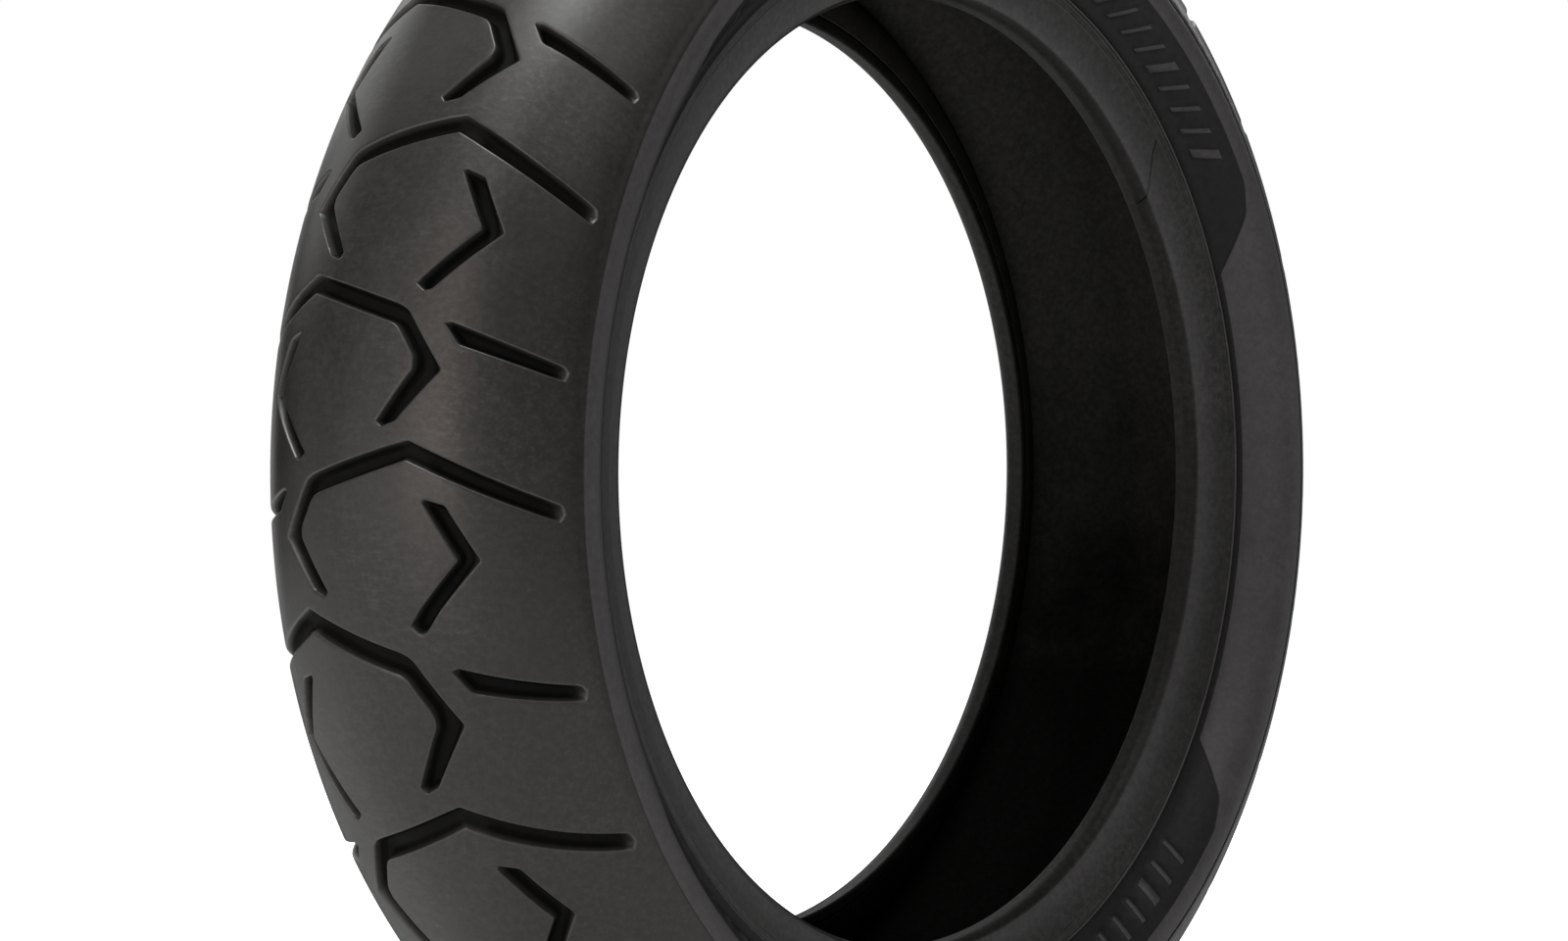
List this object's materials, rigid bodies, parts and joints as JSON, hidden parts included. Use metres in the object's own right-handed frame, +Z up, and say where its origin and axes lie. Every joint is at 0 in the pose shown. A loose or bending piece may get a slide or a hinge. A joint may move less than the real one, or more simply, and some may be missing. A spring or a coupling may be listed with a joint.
{
  "type": "motorcycle tyre",
  "caption": "Radial tubeless rear tyre for a road motorcycle: rounded crown with angular grooves, sidewalls, and beads that seat on a wheel rim.",
  "frame": {"origin": "centre of the tyre: on the spin axis, midway between the two beads", "axes": "Y along the spin axis, -Y towards the right side and +Y towards the left side; Z up; X across the tyre's diameter"},
  "size_m": [0.636, 0.1702, 0.636],
  "materials": {
    "tread": "moulded, semi-matt",
    "sidewall": "moulded, satin",
    "chafer": "moulded, satin",
    "liner": "matt",
    "base_gum": "matt",
    "belt": "rubber-coated cord",
    "carcass": "rubber-coated cord",
    "bead_wire": "bronze-plated steel wire"
  },
  "bodies": {
    "root": {"tread_cap": "tread", "tread_base": "base_gum", "zero_degree_belt": "belt", "crossed_belt_outer": "belt", "crossed_belt_inner": "belt", "belt_edge_filler_left": "base_gum", "belt_edge_filler_right": "base_gum", "carcass_ply_outer": "carcass", "carcass_ply_inner": "carcass", "inner_liner": "liner", "sidewall_left": "sidewall", "sidewall_right": "sidewall", "chafer_left": "chafer", "chafer_right": "chafer", "bead_filler_left": "base_gum", "bead_filler_right": "base_gum", "bead_flipper_left": "carcass", "bead_flipper_right": "carcass", "bead_wires_left": "bead_wire", "bead_wires_right": "bead_wire"}
  },
  "joints": []
}
